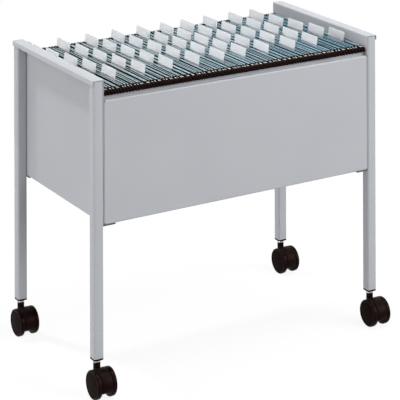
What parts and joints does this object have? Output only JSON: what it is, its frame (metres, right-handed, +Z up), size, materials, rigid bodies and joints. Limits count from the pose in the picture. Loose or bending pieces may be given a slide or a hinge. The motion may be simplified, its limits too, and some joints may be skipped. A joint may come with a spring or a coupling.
{
  "type": "mobile hanging file cart",
  "caption": "Open sheet-steel file cart on square tube legs with twin-wheel swivel castors; hanging files hook over folded rails along its front and back panels.",
  "frame": {"origin": "on the floor under the middle of the whole cart, castors counted", "axes": "+Z up, +X along the width to the right when facing the front panel, +Y from the front panel to the back panel"},
  "size_m": [0.6724, 0.3856, 0.5875],
  "materials": {
    "grey_paint": "satin light grey powder coat",
    "bracket_paint": "dark grey paint",
    "black_plastic": "moulded, satin",
    "wheel_plastic": "moulded, semi-gloss",
    "bright_steel": "bright zinc",
    "axle_steel": "plain",
    "file_card": "matt card with pale bars and white tabs"
  },
  "bodies": {
    "cart": {"front_left_leg": "grey_paint", "front_left_leg_plug": "black_plastic", "front_left_bracket": "bracket_paint", "front_left_castor_stem": "bright_steel", "front_right_leg": "grey_paint", "front_right_leg_plug": "black_plastic", "front_right_bracket": "bracket_paint", "front_right_castor_stem": "bright_steel", "back_left_leg": "grey_paint", "back_left_leg_plug": "black_plastic", "back_left_bracket": "bracket_paint", "back_left_castor_stem": "bright_steel", "back_right_leg": "grey_paint", "back_right_leg_plug": "black_plastic", "back_right_bracket": "bracket_paint", "back_right_castor_stem": "bright_steel", "left_side_panel": "grey_paint", "right_side_panel": "grey_paint", "front_panel": "grey_paint", "back_panel": "grey_paint"},
    "front_left_castor": {"front_left_castor_body": "black_plastic", "front_left_castor_axle": "axle_steel"},
    "front_left_castor_left_wheel": {"front_left_castor_left_wheel": "wheel_plastic"},
    "front_left_castor_right_wheel": {"front_left_castor_right_wheel": "wheel_plastic"},
    "front_right_castor": {"front_right_castor_body": "black_plastic", "front_right_castor_axle": "axle_steel"},
    "front_right_castor_left_wheel": {"front_right_castor_left_wheel": "wheel_plastic"},
    "front_right_castor_right_wheel": {"front_right_castor_right_wheel": "wheel_plastic"},
    "back_left_castor": {"back_left_castor_body": "black_plastic", "back_left_castor_axle": "axle_steel"},
    "back_left_castor_left_wheel": {"back_left_castor_left_wheel": "wheel_plastic"},
    "back_left_castor_right_wheel": {"back_left_castor_right_wheel": "wheel_plastic"},
    "back_right_castor": {"back_right_castor_body": "black_plastic", "back_right_castor_axle": "axle_steel"},
    "back_right_castor_left_wheel": {"back_right_castor_left_wheel": "wheel_plastic"},
    "back_right_castor_right_wheel": {"back_right_castor_right_wheel": "wheel_plastic"},
    "file_bank_01": {"file_bank_01": "file_card"},
    "file_bank_02": {"file_bank_02": "file_card"},
    "file_bank_03": {"file_bank_03": "file_card"},
    "file_bank_04": {"file_bank_04": "file_card"},
    "file_bank_05": {"file_bank_05": "file_card"},
    "file_bank_06": {"file_bank_06": "file_card"},
    "file_bank_07": {"file_bank_07": "file_card"},
    "file_bank_08": {"file_bank_08": "file_card"},
    "file_bank_09": {"file_bank_09": "file_card"},
    "file_bank_10": {"file_bank_10": "file_card"}
  },
  "joints": [
    {"name": "front_left_castor_swivel", "type": "hinge", "parent": "cart", "child": "front_left_castor", "pos_m": [-0.3155, -0.14725, 0.0615], "axis": [0, 0, 1], "continuous": true},
    {"name": "front_left_castor_left_wheel_spin", "type": "hinge", "parent": "front_left_castor", "child": "front_left_castor_left_wheel", "pos_m": [-0.3155, -0.16625, 0.0265], "axis": [1, 0, 0], "continuous": true},
    {"name": "front_left_castor_right_wheel_spin", "type": "hinge", "parent": "front_left_castor", "child": "front_left_castor_right_wheel", "pos_m": [-0.3155, -0.16625, 0.0265], "axis": [1, 0, 0], "continuous": true},
    {"name": "front_right_castor_swivel", "type": "hinge", "parent": "cart", "child": "front_right_castor", "pos_m": [0.3155, -0.14725, 0.0615], "axis": [0, 0, 1], "continuous": true},
    {"name": "front_right_castor_left_wheel_spin", "type": "hinge", "parent": "front_right_castor", "child": "front_right_castor_left_wheel", "pos_m": [0.3155, -0.16625, 0.0265], "axis": [1, 0, 0], "continuous": true},
    {"name": "front_right_castor_right_wheel_spin", "type": "hinge", "parent": "front_right_castor", "child": "front_right_castor_right_wheel", "pos_m": [0.3155, -0.16625, 0.0265], "axis": [1, 0, 0], "continuous": true},
    {"name": "back_left_castor_swivel", "type": "hinge", "parent": "cart", "child": "back_left_castor", "pos_m": [-0.3155, 0.18275, 0.0615], "axis": [0, 0, 1], "continuous": true},
    {"name": "back_left_castor_left_wheel_spin", "type": "hinge", "parent": "back_left_castor", "child": "back_left_castor_left_wheel", "pos_m": [-0.3155, 0.16375, 0.0265], "axis": [1, 0, 0], "continuous": true},
    {"name": "back_left_castor_right_wheel_spin", "type": "hinge", "parent": "back_left_castor", "child": "back_left_castor_right_wheel", "pos_m": [-0.3155, 0.16375, 0.0265], "axis": [1, 0, 0], "continuous": true},
    {"name": "back_right_castor_swivel", "type": "hinge", "parent": "cart", "child": "back_right_castor", "pos_m": [0.3155, 0.18275, 0.0615], "axis": [0, 0, 1], "continuous": true},
    {"name": "back_right_castor_left_wheel_spin", "type": "hinge", "parent": "back_right_castor", "child": "back_right_castor_left_wheel", "pos_m": [0.3155, 0.16375, 0.0265], "axis": [1, 0, 0], "continuous": true},
    {"name": "back_right_castor_right_wheel_spin", "type": "hinge", "parent": "back_right_castor", "child": "back_right_castor_right_wheel", "pos_m": [0.3155, 0.16375, 0.0265], "axis": [1, 0, 0], "continuous": true},
    {"name": "file_bank_01_lift", "type": "slide", "parent": "cart", "child": "file_bank_01", "axis": [0, 0, 1], "range_m": [0, 0.27]},
    {"name": "file_bank_02_lift", "type": "slide", "parent": "cart", "child": "file_bank_02", "axis": [0, 0, 1], "range_m": [0, 0.27]},
    {"name": "file_bank_03_lift", "type": "slide", "parent": "cart", "child": "file_bank_03", "axis": [0, 0, 1], "range_m": [0, 0.27]},
    {"name": "file_bank_04_lift", "type": "slide", "parent": "cart", "child": "file_bank_04", "axis": [0, 0, 1], "range_m": [0, 0.27]},
    {"name": "file_bank_05_lift", "type": "slide", "parent": "cart", "child": "file_bank_05", "axis": [0, 0, 1], "range_m": [0, 0.27]},
    {"name": "file_bank_06_lift", "type": "slide", "parent": "cart", "child": "file_bank_06", "axis": [0, 0, 1], "range_m": [0, 0.27]},
    {"name": "file_bank_07_lift", "type": "slide", "parent": "cart", "child": "file_bank_07", "axis": [0, 0, 1], "range_m": [0, 0.27]},
    {"name": "file_bank_08_lift", "type": "slide", "parent": "cart", "child": "file_bank_08", "axis": [0, 0, 1], "range_m": [0, 0.27]},
    {"name": "file_bank_09_lift", "type": "slide", "parent": "cart", "child": "file_bank_09", "axis": [0, 0, 1], "range_m": [0, 0.27]},
    {"name": "file_bank_10_lift", "type": "slide", "parent": "cart", "child": "file_bank_10", "axis": [0, 0, 1], "range_m": [0, 0.27]}
  ]
}
